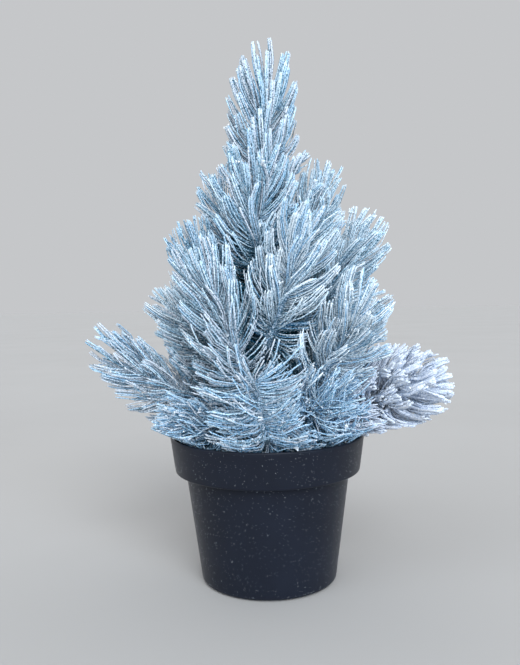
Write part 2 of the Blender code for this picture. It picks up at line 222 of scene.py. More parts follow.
# How far needles lean from the wire at its root and at its tip, where more than on the rest
WIDE_LEANS = {
    "leader": (72.0, 26.0),
    "skirt_front": (96.0, 76.0),
    "skirt_right": (84.0, 40.0),
    "flank_front_right": (80.0, 26.0),
    "flank_front_left": (76.0, 26.0),
    "shoulder_front": (80.0, 28.0),
    "upper_front": (82.0, 30.0),
    "skirt_left": (70.0, 24.0),
    "shoulder_right": (68.0, 24.0),
}
FACINGS = {
    "leader": 270,
    "upper_front": 268,
    "shoulder_front": 276,
    "shoulder_right": 296,
    "shoulder_left": 246,
    "flank_left": 246,
    "flank_front_left": 258,
    "flank_front_right": 280,
    "skirt_left": 244,
    "skirt_front_right": 282,
    "collar_right": 288,
}
FLATTENED = {"skirt_front_right": 0.5, "collar_right": 0.4}
LESS_COMBED = {"skirt_front": 0.42}
HEAVY_FROST = ("skirt_right",)
FLOCKED_BEYOND = {"skirt_right": -math.inf, "skirt_front_right": 54.0, "collar_right": 50.0}
FLOCKED_MISSED = 0.12
HEAVY_COAT = 2.1
HEAVY_LENGTH = 0.97
HEAVY_MATTING = -0.12
HEAVY_TUFTS = (9, 3.4)
HEAVY_BRUSH = 150
HEAVY_SPREAD = 40.0
HEAVY_SLOPE = 0.24
HEAVY_STEP = 0.06
HEAVY_GRAINS = 14
HEAVY_GRAIN_RADIUS = (0.22, 0.50)

# The draw of random numbers of a sprig whose tufts lie the way they do in the photograph
SPRIG_DRAWS = {
    "leader": 75,
    "skirt_right": 5,
    "skirt_left": 2,
    "shoulder_right": 35,
    "upper_right": 14,
    "upper_left": 35,
    "shoulder_left": 33,
    "flank_left": 2,
    "flank_front_right": 36,
    "flank_front_left": 30,
    "skirt_front_right": 3,
    "collar_left": 31,
    "collar_right": 17,
    "flank_back_right": 2,
    "flank_back_left": 6,
    "upper_front": 16,
}

# How much more or less frost than the rest lies on a sprig, partly painted light and shade with some sprigs made
# paler or darker for how light falls on them, and the tints it divides into
SPRIG_FROST_AND_LIGHT = {
    "skirt_left": -0.16,
    "shoulder_right": 0.25,
    "upper_right": 0.10,
    "shoulder_front": 0.50,
    "flank_front_right": 0.72,
    "leader": -0.06,
    "flank_front_left": 0.02,
    "flank_left": 0.28,
    "upper_front": -0.15,
    "upper_left": -0.20,
    "skirt_front": 0.08,
    "shoulder_left": -0.30,
    "collar_left": -0.15,
    "skirt_front_right": 0.20,
    "collar_right": 0.20,
}
TINT_EDGES = (-0.18, 0.04, 0.26, 0.52)
GREY_SHARE = 0.07
GREY_HEIGHTS = (104.0, 130.0)
# Heights between which the bluer sky tint thins out upward; low near the pot it is partly painted blue shade.
SKY_AND_SHADE_HEIGHTS = (84.0, 93.0)
GREY_SHARES = {
    "leader": 1.25,
    "upper_front": 0.50,
    "flank_front_left": 0.75,
    "flank_left": 0.60,
    "skirt_front": 0.30,
    "upper_left": 0.80,
    "collar_left": 0.15,
    "skirt_left": 0.55,
}

# Share of each sprig's needles in the bluer sky tint, partly the needles' own blue and partly painted blue shade.
SKY_AND_SHADE_SHARES = {
    "shoulder_front": 0.30,
    "flank_front_right": 0.28,
    "skirt_front": 0.50,
    "skirt_front_right": 0.95,
    "collar_right": 0.90,
    "collar_left": 0.60,
    "skirt_left": 0.20,
}

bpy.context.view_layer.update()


# Camera, floor and light


def set_camera():
    data = bpy.data.cameras.new("photo_camera")
    data.sensor_fit = "VERTICAL"
    data.sensor_height = FILM_HEIGHT
    data.lens = FOCAL_LENGTH
    data.clip_start = 0.01
    camera = bpy.data.objects.new("photo_camera", data)
    bpy.context.scene.collection.objects.link(camera)
    turn = Matrix.Rotation(math.radians(CAMERA_LEFT), 4, "Z")
    tilt = Matrix.Rotation(math.radians(90 - CAMERA_DOWN), 4, "X")
    roll = Matrix.Rotation(math.radians(CAMERA_ROLL), 4, "Z")
    place = Matrix.Translation([length * MM for length in CAMERA_PLACE])
    camera.matrix_world = place @ turn @ tilt @ roll
    bpy.context.scene.camera = camera


def add_light(name, place, strength, softness, colour):
    """A soft light from far away, which falls on the tree and the whole floor alike."""
    data = bpy.data.lights.new(name, "SUN")
    data.energy = strength
    data.angle = math.radians(softness)
    data.color = colour
    light = bpy.data.objects.new(name, data)
    bpy.context.scene.collection.objects.link(light)
    light.location = place
    light.rotation_euler = light.location.to_track_quat("Z", "Y").to_euler()


def set_studio():
    bpy.ops.object.select_all(action="DESELECT")
    bpy.ops.mesh.primitive_plane_add(size=60, location=(0, 0, -0.0006))
    floor = bpy.context.object
    floor.name = "studio_floor"
    floor.data.materials.append(floor_paper())
    add_light("window_light", (0.30, -1.20, 0.85), 1.9, 30, (0.92, 0.96, 1.0))
    add_light("room_in_front", (-0.25, -1.00, 0.10), 3.1, 120, (0.82, 0.91, 1.0))
    add_light("doorway_on_the_right", (0.66, -0.76, 0.02), 1.4, 30, (0.40, 0.68, 1.0))
    add_light("room_behind", (0.20, 1.00, 0.35), 1.1, 120, (0.97, 0.98, 1.0))
    world = bpy.data.worlds.new("pale_room")
    world.use_nodes = True
    sky = world.node_tree.nodes["Background"]
    sky.inputs["Color"].default_value = (0.56, 0.57, 0.585, 1.0)
    sky.inputs["Strength"].default_value = 1.0
    bpy.context.scene.world = world
    bpy.context.scene.view_settings.view_transform = "Standard"


# Materials


def new_finish(name, roughness):
    finish = bpy.data.materials.new(name)
    finish.use_nodes = True
    tree = finish.node_tree
    shader = tree.nodes["Principled BSDF"]
    shader.inputs["Roughness"].default_value = roughness
    place = tree.nodes.new("ShaderNodeTexCoord").outputs["Object"]
    return finish, tree, shader, place


def add_noise(tree, place, scale, detail=3.0, roughness=0.6):
    noise = tree.nodes.new("ShaderNodeTexNoise")
    noise.inputs["Scale"].default_value = scale
    noise.inputs["Detail"].default_value = detail
    noise.inputs["Roughness"].default_value = roughness
    tree.links.new(place, noise.inputs["Vector"])
    return noise.outputs["Fac"]


def multiply_add(tree, amount, factor, addend):
    sum_of = tree.nodes.new("ShaderNodeMath")
    sum_of.operation = "MULTIPLY_ADD"
    tree.links.new(amount, sum_of.inputs[0])
    sum_of.inputs[1].default_value = factor
    if isinstance(addend, float):
        sum_of.inputs[2].default_value = addend
    else:
        tree.links.new(addend, sum_of.inputs[2])
    return sum_of.outputs["Value"]


def add_ramp(tree, amount, stops):
    ramp = tree.nodes.new("ShaderNodeValToRGB")
    elements = ramp.color_ramp.elements
    while len(elements) < len(stops):
        elements.new(0.5)
    for element, (position, colour) in zip(elements, stops):
        element.position = position
        element.color = (*colour, 1.0)
    tree.links.new(amount, ramp.inputs["Fac"])
    return ramp.outputs["Color"]


def add_bump(tree, shader, height, strength, distance):
    bump = tree.nodes.new("ShaderNodeBump")
    bump.inputs["Strength"].default_value = strength
    bump.inputs["Distance"].default_value = distance
    tree.links.new(height, bump.inputs["Height"])
    tree.links.new(bump.outputs["Normal"], shader.inputs["Normal"])


def vary_roughness(tree, shader, amount, low, high):
    span = tree.nodes.new("ShaderNodeMapRange")
    span.inputs["To Min"].default_value = low
    span.inputs["To Max"].default_value = high
    tree.links.new(amount, span.inputs["Value"])
    tree.links.new(span.outputs["Result"], shader.inputs["Roughness"])


def floor_paper():
    finish, tree, shader, place = new_finish("pale_floor", 0.9)
    tint = add_ramp(tree, add_noise(tree, place, 3.0), [(0.3, (0.420, 0.410, 0.400)), (0.7, (0.440, 0.430, 0.420))])
    tree.links.new(tint, shader.inputs["Base Color"])
    shader.inputs["Specular IOR Level"].default_value = 0.0
    return finish


def frosted_needle(name, middle, edge):
    """A needle's flat middle in one plain tint, and the frost along its edges in another. The plain dark tint is
    partly the bare needle and partly painted shade, on the needles' narrow sides and deep in the crown.
    """
    finish, tree, shader, place = new_finish(name, 0.75)
    grain = add_noise(tree, place, 1500.0, detail=2.0, roughness=0.6)
    frost = tree.nodes.new("ShaderNodeAttribute")
    frost.attribute_name = "frost"
    cover = multiply_add(tree, grain, GRAIN_CONTRAST, 0.5 - GRAIN_CONTRAST / 2)
    cover = multiply_add(tree, frost.outputs["Fac"], 0.42, cover)
    tint = add_ramp(tree, cover, [(0.46, middle), (0.70, edge), (1.0, whiter(edge))])
    tree.links.new(tint, shader.inputs["Base Color"])
    shader.inputs["Sheen Weight"].default_value = 0.2
    shader.inputs["Sheen Roughness"].default_value = 0.4
    shader.inputs["Sheen Tint"].default_value = (0.50, 0.80, 1.0, 1.0)
    shader.inputs["Specular IOR Level"].default_value = 0.05
    vary_roughness(tree, shader, grain, 0.9, 0.55)
    add_bump(tree, shader, grain, 0.7, 0.0004)
    return finish


def whiter(colour):
    return tuple(0.5 * channel + 0.43 for channel in colour)


def frost_finish():
    finish, tree, shader, place = new_finish("frost_crystals", 0.4)
    grain = add_noise(tree, place, 2600.0, detail=2.0)
    tint = add_ramp(tree, grain, [(0.3, (0.72, 0.80, 0.88)), (0.6, (0.93, 0.96, 0.98))])
    tree.links.new(tint, shader.inputs["Base Color"])
    shader.inputs["Specular IOR Level"].default_value = 0.6
    vary_roughness(tree, shader, grain, 0.5, 0.2)
    add_bump(tree, shader, grain, 0.4, 0.0003)
    return finish


def black_plastic():
    finish, tree, shader, place = new_finish("matt_black_plastic", 0.45)
    cloud = add_noise(tree, place, 38.0, detail=5.0)
    # Near-black plastic, its blue cast a painted reflection of cool light from in front.
    tint = add_ramp(tree, cloud, [(0.3, (0.0080, 0.0102, 0.0172)), (0.7, (0.0100, 0.0132, 0.0228))])
    tree.links.new(tint, shader.inputs["Base Color"])
    shader.inputs["Specular IOR Level"].default_value = 0.17
    vary_roughness(tree, shader, add_noise(tree, place, 220.0, detail=6.0), 0.30, 0.45)
    add_bump(tree, shader, add_noise(tree, place, 1900.0, detail=3.0), 0.12, 0.0003)
    return finish


def dark_filling():
    finish, tree, shader, place = new_finish("dark_cast_filling", 0.95)
    grit = add_noise(tree, place, 420.0, detail=8.0, roughness=0.7)
    tint = add_ramp(tree, grit, [(0.3, (0.012, 0.010, 0.009)), (0.55, (0.030, 0.025, 0.021)), (0.75, (0.070, 0.062, 0.055))])
    tree.links.new(tint, shader.inputs["Base Color"])
    add_bump(tree, shader, grit, 0.8, 0.001)
    return finish


def wrapped_wire(name, dark, light):
    finish, tree, shader, place = new_finish(name, 0.8)
    fibre = add_noise(tree, place, 700.0, detail=6.0, roughness=0.7)
    tint = add_ramp(tree, fibre, [(0.3, dark), (0.7, light)])
    tree.links.new(tint, shader.inputs["Base Color"])
    vary_roughness(tree, shader, fibre, 0.65, 0.9)
    add_bump(tree, shader, fibre, 0.5, 0.0004)
    return finish


# Turned pieces


def arc(centre, radius, start, end, count):
    """Points of an arc as (radius, height), with the angles in degrees from outward to up."""
    angles = np.radians(np.linspace(start, end, count))
    return [(centre[0] + radius * math.cos(a), centre[1] + radius * math.sin(a)) for a in angles]


def body_radius(height):
    return BASE_RADIUS + (NECK_RADIUS - BASE_RADIUS) * height / BAND_FOOT_HEIGHT


def band_radius(height):
    share = (height - BAND_FOOT_HEIGHT) / (POT_HEIGHT - BAND_FOOT_HEIGHT)
    return BAND_FOOT_RADIUS + (RIM_RADIUS - BAND_FOOT_RADIUS) * share


def turned(name, profile, steps):
    """A filled ring drawn out along a profile of (radius, height), one step at a time."""
    bpy.ops.object.select_all(action="DESELECT")
    radius, height = profile[0]
    bpy.ops.mesh.primitive_circle_add(
        vertices=steps, radius=radius * MM, fill_type="NGON", location=(0, 0, height * MM)
    )
    piece = bpy.context.object
    piece.name = name
    bpy.ops.object.mode_set(mode="EDIT")
    bpy.ops.mesh.select_all(action="SELECT")
    for (radius, height), (next_radius, next_height) in zip(profile, profile[1:]):
        rise = (next_height - height) * MM
        bpy.ops.mesh.extrude_region_move(TRANSFORM_OT_translate={"value": (0, 0, rise)})
        widen = next_radius / radius
        bpy.ops.transform.resize(value=(widen, widen, 1), center_override=(0, 0, next_height * MM))
    bpy.ops.mesh.select_all(action="SELECT")
    bpy.ops.mesh.remove_doubles(threshold=1e-6)
    bpy.ops.mesh.normals_make_consistent(inside=False)
    bpy.ops.object.mode_set(mode="OBJECT")
    bpy.ops.object.transform_apply(location=True, rotation=True, scale=True)
    bpy.ops.object.shade_smooth_by_angle(angle=math.radians(35))
    return piece


def make_pot():
    """The thin moulded pot: foot, body, band, lip, inner wall with its ledge, and inner floor."""
    foot = body_radius(BASE_ROUNDING)
    ledge = BAND_FOOT_HEIGHT + POT_WALL
    edge = 0.7
    profile = [
        (foot - BASE_ROUNDING, 0.0),
        *arc((foot - BASE_ROUNDING, BASE_ROUNDING), BASE_ROUNDING, -75, 0, 6),
        *[(body_radius(height), height) for height in np.linspace(8, BAND_FOOT_HEIGHT - 1, 7)],
        (NECK_RADIUS + 0.05, BAND_FOOT_HEIGHT - 0.25),
        (NECK_RADIUS + 0.4, BAND_FOOT_HEIGHT),
        *arc((BAND_FOOT_RADIUS - edge, BAND_FOOT_HEIGHT + edge), edge, -90, 0, 5),
        *[(band_radius(height), height) for height in np.linspace(59, 72, 4)],
        *arc((RIM_RADIUS - LIP_ROUNDING, POT_HEIGHT - LIP_ROUNDING), LIP_ROUNDING, 0, 180, 9),
        (RIM_RADIUS - POT_WALL - 0.3, POT_HEIGHT - 4),
        (band_radius(ledge) - POT_WALL, ledge + 0.5),
        (band_radius(ledge) - POT_WALL - 0.5, ledge),
        (body_radius(ledge) - POT_WALL, ledge),
        (body_radius(POT_WALL) - POT_WALL, POT_WALL),
    ]
    pot = turned("moulded_pot", profile, POT_STEPS)
    pot.data.materials.append(black_plastic())
    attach(pot, "root")
    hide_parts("pot")


def make_filling():
    """The rough flat top of the cast filling, with its sides down inside the pot."""
    inside = band_radius(FILLING_HEIGHT) - POT_WALL - 0.5
    rings = np.linspace(inside, 0.4, FILLING_RINGS)
    profile = [(inside - 2.0, FILLING_HEIGHT - 5.0), (inside, FILLING_HEIGHT - 1.5)]
    profile += [(radius, FILLING_HEIGHT - 0.8) for radius in rings[1:]]
    filling = turned("cast_filling", profile, FILLING_STEPS)
    clouds = bpy.data.textures.new("filling_lumps", "CLOUDS")
    clouds.noise_scale = 0.006
    clouds.noise_depth = 4
    lumps = filling.modifiers.new("lumps", "DISPLACE")
    lumps.texture = clouds
    lumps.strength = FILLING_ROUGHNESS * MM
    lumps.mid_level = 0.5
    bpy.ops.object.modifier_apply(modifier=lumps.name)
    filling.data.materials.append(dark_filling())
    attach(filling, "root")
    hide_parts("filling")


# Paths of the stem, the boughs and the wires


def lengths_along(path):
    return np.concatenate([[0.0], np.cumsum(np.linalg.norm(np.diff(path, axis=0), axis=1))])


def points_at(path, lengths):
    """Points of a path at these lengths from its start."""
    measured = lengths_along(path)
    return np.stack([np.interp(lengths, measured, line) for line in path.T], axis=-1)


def unit(vectors):
    return vectors / np.linalg.norm(vectors, axis=-1, keepdims=True)


def stem_axis(heights):
    heights = np.asarray(heights, dtype=float)
    to_the_right = LEADER_LEAN * np.maximum(heights - STEM_TOP_HEIGHT, 0.0)
    return np.stack([to_the_right, heights * 0.0, heights], axis=-1)


def stem_radius(heights):
    share = (heights - FILLING_HEIGHT) / (STEM_TOP_HEIGHT - FILLING_HEIGHT)
    taper = STEM_FOOT_RADIUS + (STEM_TOP_RADIUS - STEM_FOOT_RADIUS) * share
    return taper + STEM_FLARE * np.exp(-(heights - FILLING_HEIGHT) / STEM_FLARE_HEIGHT)


STEM_LINE = stem_axis([FILLING_HEIGHT, STEM_TOP_HEIGHT])


def towards(bearing):
    """The level direction at a bearing in degrees."""
    return np.array([math.cos(math.radians(bearing)), math.sin(math.radians(bearing)), 0.0])


def bough_path(name, root_height, bearing, reach, tip_height, turn_share):
    """The wire of a bough and its sprig: it leaves the stem low and sweeps up to its tip."""
    knee_bearing, sharpness = TURNED_KNEES.get(name, (bearing, 1.0))
    root = stem_axis(root_height)
    knee_rise = (tip_height - root_height) * KNEE_RISE * (1 - turn_share)
    knee = root + towards(knee_bearing) * reach * turn_share + UP * knee_rise
    tip = towards(bearing) * reach + UP * tip_height
    share = np.linspace(0.0, 1.0, WIRE_POINTS)[:, None]
    near_root, near_knee, near_tip = (1 - share) ** 2, 2 * sharpness * share * (1 - share), share**2
    return (root * near_root + knee * near_knee + tip * near_tip) / (near_root + near_knee + near_tip)


def plan_sprigs():
    """Each sprig's wire and the bare length before its first needles."""
    wires = {name: (bough_path(name, *sizes), bare) for name, *sizes, bare in BOUGHS}
    heights = np.linspace(STEM_TOP_HEIGHT, LEADER_TIP_HEIGHT, WIRE_POINTS)
    wires["leader"] = (stem_axis(heights), GAP)
    return wires


def beyond_tip(path):
    """A path carried straight on past its tip, through the brush of needles there."""
    return np.vstack([path, path[-1] + unit(path[-1] - path[-2]) * SPRIG_AHEAD])


def distance_to(points, path):
    """Shortest distance from each of the points to a path."""
    start, step = path[:-1], np.diff(path, axis=0)
    offset = points[:, None] - start[None]
    share = np.einsum("nmk,mk->nm", offset, step) / np.maximum((step**2).sum(axis=1), 1e-9)
    nearest = start[None] + np.clip(share, 0.0, 1.0)[..., None] * step[None]
    return np.linalg.norm(points[:, None] - nearest, axis=2).min(axis=1)


# Joined meshes


def joined_mesh(name, points, faces, finish, nodes=()):
    """One piece from arrays: points in mm, and faces as rows of point numbers, one array a size."""
    mesh = bpy.data.meshes.new(name)
    sizes = np.concatenate([np.full(len(rows), rows.shape[1]) for rows in faces])
    corners = np.concatenate([rows.ravel() for rows in faces])
    mesh.vertices.add(len(points))
    mesh.vertices.foreach_set("co", (points * MM).astype(np.float32).ravel())
    mesh.loops.add(len(corners))
    mesh.loops.foreach_set("vertex_index", corners.astype(np.int32))
    mesh.polygons.add(len(sizes))
    mesh.polygons.foreach_set("loop_start", np.concatenate([[0], np.cumsum(sizes)[:-1]]).astype(np.int32))
    mesh.update(calc_edges=True)
    mesh.shade_smooth()
    mesh.materials.append(finish)
    piece = bpy.data.objects.new(name, mesh)
    bpy.context.scene.collection.objects.link(piece)
    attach(piece, "root")
    if nodes:
        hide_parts(*nodes)
    return piece


def tube_faces(rings, sides, first):
    """Quads between the rings of a tube, and a face over each end, outward all round."""
    ring, side = np.meshgrid(np.arange(rings - 1), np.arange(sides), indexing="ij")
    here = ring * sides + side
    across = ring * sides + (side + 1) % sides
    quads = np.stack([here, across, across + sides, here + sides], axis=-1).reshape(-1, 4)
    foot = np.arange(sides)[::-1][None]
    tip = (rings - 1) * sides + np.arange(sides)[None]
    return quads + first, np.concatenate([foot, tip]) + first


def side_directions(ahead, reference):
    """Two directions square to a path at each of its points."""
    across = unit(np.cross(ahead, reference))
    return across, np.cross(ahead, across)


def wound_tube(path, radii, sides, relief):
    """Rings of a tube round a path, their radius raised by a relief of turn and length."""
    ahead = unit(np.gradient(path, axis=0))
    steep = abs(ahead[:, 2]).mean() > STEEP
    across, over = side_directions(ahead, BACKWARD if steep else UP)
    angles = np.arange(sides) / sides * TURN
    measured = lengths_along(path)
    raised = radii[:, None] + relief(angles[None], measured[:, None])
    ring = across[:, None] * np.cos(angles)[None, :, None] + over[:, None] * np.sin(angles)[None, :, None]
    return (path[:, None] + ring * raised[..., None]).reshape(-1, 3)


def wrapping(angles, lengths):
    """Overlapping turns of the wrapping: each turn rises to its edge and drops to the next."""
    turns = (lengths / WRAP_PITCH - angles / TURN) % 1.0
    return WRAP_RELIEF * (turns - 0.5) + 0.05 * np.sin(angles * 5 + lengths * 2.3)


def matting(angles, lengths):
    """Lumps of the frost that mats the roots of the needles together."""
    ripple = np.sin(angles * 3 + lengths * 1.9) * np.sin(lengths * 2.7 - angles * 2)
    return 0.55 * ripple + 0.35 * np.sin(angles * 5 - lengths * 4.3)


def joined_tubes(name, tubes, sides, relief, finish, nodes=()):
    points, quads, ends = [], [], []
    for path, radii in tubes:
        first = sum(len(rows) for rows in points)
        points.append(wound_tube(path, radii, sides, relief))
        tube_quads, tube_ends = tube_faces(len(path), sides, first)
        quads.append(tube_quads)
        ends.append(tube_ends)
    faces = [np.concatenate(quads), np.concatenate(ends)]
    return joined_mesh(name, np.concatenate(points), faces, finish, nodes)


def make_limbs(wires):
    wrapped = wrapped_wire("dark_green_wrapping", (0.006, 0.020, 0.019), (0.020, 0.062, 0.055))
    matted = frosted_needle("matted_frost", (0.08, 0.17, 0.24), (0.66, 0.78, 0.92))
    foot = FILLING_HEIGHT - 0.6
    heights = np.arange(foot, STEM_TOP_HEIGHT, RING_STEP)
    joined_tubes(
        "wrapped_stem", [(stem_axis(heights), stem_radius(heights))], 28, wrapping, wrapped, ["stem"]
    )
    boughs, beds = [], []
    for name, (path, bare) in wires.items():
        end = lengths_along(path)[-1]
        if name != "leader":
            lengths = np.arange(GAP, bare + 1.0, RING_STEP)
            taper = np.interp(lengths, [0.0, bare], [BOUGH_ROOT_RADIUS, BOUGH_TIP_RADIUS])
            boughs.append((points_at(path, lengths), taper - WRAP_RELIEF / 2))
        lengths = np.arange(bare + GAP, end, MATTED_RING_STEP)
        beds.append((points_at(path, lengths), np.linspace(*MATTED_RADIUS, len(lengths))))
    nodes = [name + "_bough" for name in wires if name != "leader"]
    joined_tubes("wrapped_boughs", boughs, 14, wrapping, wrapped, nodes)
    joined_tubes("matted_frost", beds, MATTED_SIDES, matting, matted)


# Needles


def resampled(lines, shares):
    """Each line's points at these shares of its length, one row of shares a line."""
    along = np.broadcast_to(shares, (len(lines), np.shape(shares)[-1])) * (lines.shape[1] - 1)
    low = np.minimum(along.astype(int), lines.shape[1] - 2)
    part = (along - low)[..., None]
    rows = np.arange(len(lines))[:, None]
    return lines[rows, low] * (1 - part) + lines[rows, low + 1] * part


def tufted(places, spin, loose, tufts_round, tuft_length):
    """Small tufts round the wire: each needle's tuft, and its turn drawn towards its tuft."""
    row = np.floor(places / tuft_length)
    turned_by = row * 0.37
    cell = (spin / TURN + turned_by) % 1.0 * tufts_round
    column = np.floor(cell)
    _, tuft = np.unique(row * tufts_round + column, return_inverse=True)
    gather = TUFT_GATHER * (1 - loose)
    gathered = spin - (cell - column - 0.5) * gather * TURN / tufts_round
    return tuft, gathered


def drawn_together(lines, tuft, loose):
    """Needles of a tuft matted towards its middle by the frost, the more the nearer their tips."""
    middle = np.zeros((tuft.max() + 1, *lines.shape[1:]))
    np.add.at(middle, tuft, lines)
    middle /= np.maximum(np.bincount(tuft), 1)[:, None, None]
    along = np.linspace(0.0, 1.0, LINE_POINTS)[None, :, None]
    pull = (TUFT_PULL[0] * along + TUFT_PULL[1] * along**4) * (1 - loose)[:, None, None]
    return lines + (middle[tuft] - lines) * pull


def outward_from_stem(points):
    """Level directions away from the stem's axis, none where the points lie on it."""
    level = (points - stem_axis(points[:, 2])) * np.array([1.0, 1.0, 0.0])
    return level / np.maximum(np.linalg.norm(level, axis=1, keepdims=True), 4.0)


def laid_on_pot(lines, slope):
    """Curls low needles level before they dip into the filling or below the brim."""
    radius = np.hypot(lines[..., 0], lines[..., 1])
    inside = RIM_RADIUS - POT_WALL - 1.0
    lowest = np.interp(radius, [inside - 4.0, inside], [FILLING_HEIGHT + 1.2, POT_HEIGHT + BRIM_CLEARANCE])
    lowest = lowest + np.maximum(radius - RIM_RADIUS, 0.0) * slope
    above = (lines[..., 2] - lowest) / CURL_HEIGHT
    curled = lowest + CURL_HEIGHT * np.logaddexp(above, 0.0)
    return np.concatenate([lines[..., :2], curled[..., None]], axis=-1)


def needle_lines(name, wires, random):
    """Centre lines of a sprig's fine needles, by its solid's spiral, cut back to its own space."""
    path, bare = wires[name]
    end = lengths_along(path)[-1]
    heavy = name in HEAVY_FROST
    spiral = np.arange(bare + FIRST_NEEDLE, end, HEAVY_STEP if heavy else NEEDLE_STEP)
    brush = HEAVY_BRUSH if heavy else BRUSH_NEEDLES
    places = np.concatenate([spiral, np.full(brush, end - GAP)])
    count = len(places)
    roots = points_at(path, places)
    ahead = unit(points_at(path, places + 0.8) - points_at(path, places - 0.8))
    share = (places - bare) / (end - bare)
    lean_at_root, lean_at_tip = WIDE_LEANS.get(name, LEANS)
    lean = lean_at_root + (lean_at_tip - lean_at_root) * share + random.normal(0.0, LEAN_SCATTER, count)
    spin = random.uniform(0.0, TURN) + NEEDLE_SPIRAL * np.arange(count)
    low = np.interp(roots[:, 2], LOW_ROOTS, [1.0, 0.0])
    loose = np.full(count, -HEAVY_MATTING) if heavy else LOW_LOOSENESS * low
    if name == "leader":
        loose += LEADER_LOOSENESS
    tuft, spin = tufted(places, spin, loose, *(HEAVY_TUFTS if heavy else (TUFTS_ROUND, TUFT_LENGTH)))
    tufts = tuft.max() + 1
    spin += random.normal(0.0, SPIN_SCATTER, count)
    lean += random.normal(0.0, TUFT_LEAN, tufts)[tuft]
    spread = HEAVY_SPREAD if heavy else BRUSH_SPREAD
    lean[len(spiral):] = random.uniform(lean_at_tip - spread, lean_at_tip, tufts)[tuft][len(spiral):]
    lean = np.radians(lean)
    steep = np.where(ahead[:, 2:] > STEEP, BACKWARD, UP)
    across, over = side_directions(ahead, steep)
    aside = across * np.cos(spin)[:, None] - over * np.sin(spin)[:, None]
    beside = np.cross(ahead, aside)
    outward = towards(FACINGS[name]) if name in FACINGS else outward_from_stem(roots)
    facing_out = np.maximum((aside * outward).sum(axis=1), 0.0)
    lean *= 1 - LESS_COMBED.get(name, COMBED_LEAN) * facing_out**2
    combed_away = random.uniform(0.0, 1.0, count) < COMBED_AWAY * facing_out**2
    length = NEEDLE_LENGTH * random.uniform(*NEEDLE_LENGTH_SPREAD, count)
    length *= random.uniform(*TUFT_LENGTHS, tufts)[tuft]
    middle = np.bincount(tuft, places) / np.maximum(np.bincount(tuft), 1)
    length -= (places - middle[tuft]) * np.cos(lean)
    length *= 1 - (1 - LOW_LENGTH) * low
    lean += random.normal(0.0, LOW_SCATTER, count) * low
    length *= np.interp(share, [0.0, FIRST_SHARE], [FIRST_LENGTH, 1.0])
    if heavy:
        length *= HEAVY_LENGTH
    waver = random.normal(0.0, NEEDLE_WAVER, count) + random.normal(0.0, TUFT_SWAY, tufts)[tuft]
    waver += random.normal(0.0, LOW_SCATTER, count) * low * 2
    waviness = LEADER_WAVINESS if name == "leader" else 1.0
    along = np.linspace(0.0, 1.0, LINE_POINTS)
    middles = (along[1:] + along[:-1]) / 2
    bend = np.minimum(NEEDLE_BEND, lean * 1.2)
    leans = lean[:, None] + bend[:, None] * (0.5 - middles)
    wave = random.normal(0.0, TUFT_WAVE, tufts)[tuft] * (1 + low)
    crest = random.uniform(0.0, TURN, tufts)[tuft]
    sways = waver[:, None] * (middles - 0.2) + wave[:, None] * np.sin(TURN * middles + crest[:, None])
    sways = sways * waviness
    curly = np.interp(roots[:, 2], CURLY_ROOTS, [1.0, 0.0])
    curls = np.random.default_rng(NEEDLE_SEED)
    for bends in (leans, sways):
        turns = middles * curls.uniform(*CURL_TURNS, (count, 1)) + curls.uniform(0.0, 1.0, (count, 1))
        bends += (curls.normal(0.0, NEEDLE_CURL, count) * curly)[:, None] * np.sin(TURN * turns)
    steps = (
        ahead[:, None] * np.cos(leans)[..., None]
        + aside[:, None] * np.sin(leans)[..., None]
        + beside[:, None] * sways[..., None]
    )
    if name in FLATTENED:
        steps -= FLATTENED[name] * np.maximum(steps @ outward, 0.0)[..., None] * outward
    steps = unit(steps) * (length / (LINE_POINTS - 1))[:, None, None]
    lines = roots[:, None] + np.concatenate([np.zeros((count, 1, 3)), np.cumsum(steps, axis=1)], axis=1)
    free = drawn_together(lines, tuft, loose)
    lines = laid_on_pot(free, HEAVY_SLOPE if heavy else CURL_SLOPE)
    pressed = (lines - free)[..., 2].max(axis=1)
    overlap = random.uniform(*SPACE_OVERLAP, count) + LOW_OVERLAP * low
    kept = kept_share(name, lines, wires, overlap)
    whole = (kept >= SHORTEST_NEEDLE) & ~combed_away & (pressed < MOST_PRESSED)
    return resampled(lines[whole], kept[whole, None] * along[None])


def kept_share(name, lines, wires, overlap):
    """The share of each needle, from its root, that stays in its sprig's own space."""
    count, points_each = lines.shape[:2]
    points = lines.reshape(-1, 3)
    path, bare = wires[name]
    end = lengths_along(path)[-1]
    own = distance_to(points, beyond_tip(points_at(path, np.linspace(bare, end, 12))))
    rival = np.full(len(points), np.inf)
    for other, (other_path, other_bare) in wires.items():
        if other != name:
            stretch = points_at(other_path, np.linspace(0.0, lengths_along(other_path)[-1], 14))
            rival = np.minimum(rival, distance_to(points, beyond_tip(stretch)))
    inside = own < rival + np.repeat(overlap, points_each)
    if name != "leader":
        off_stem = distance_to(points, STEM_LINE) - stem_radius(points[:, 2])
        inside &= (off_stem > NEEDLE_CLEARANCE) | (points[:, 2] > STEM_TOP_HEIGHT + NEEDLE_CLEARANCE)
    inside = inside.reshape(count, points_each)
    inside[:, 0] = True
    kept = np.cumprod(inside, axis=1).sum(axis=1) - 1
    return kept / (points_each - 1)


def needle_frame(lines, random):
    """For each needle's points, the way across it and the way that its frosted side faces."""
    ahead = unit(np.gradient(lines, axis=1))
    outward = lines[:, -1] * np.array([1.0, 1.0, 0.0])
    facing = unit(outward) * 0.8 + UP * 0.6 + random.normal(0.0, 0.35, (len(lines), 3))
    facing = np.broadcast_to(facing[:, None], ahead.shape)
    across = unit(np.cross(ahead, facing))
    return across, np.cross(across, ahead)


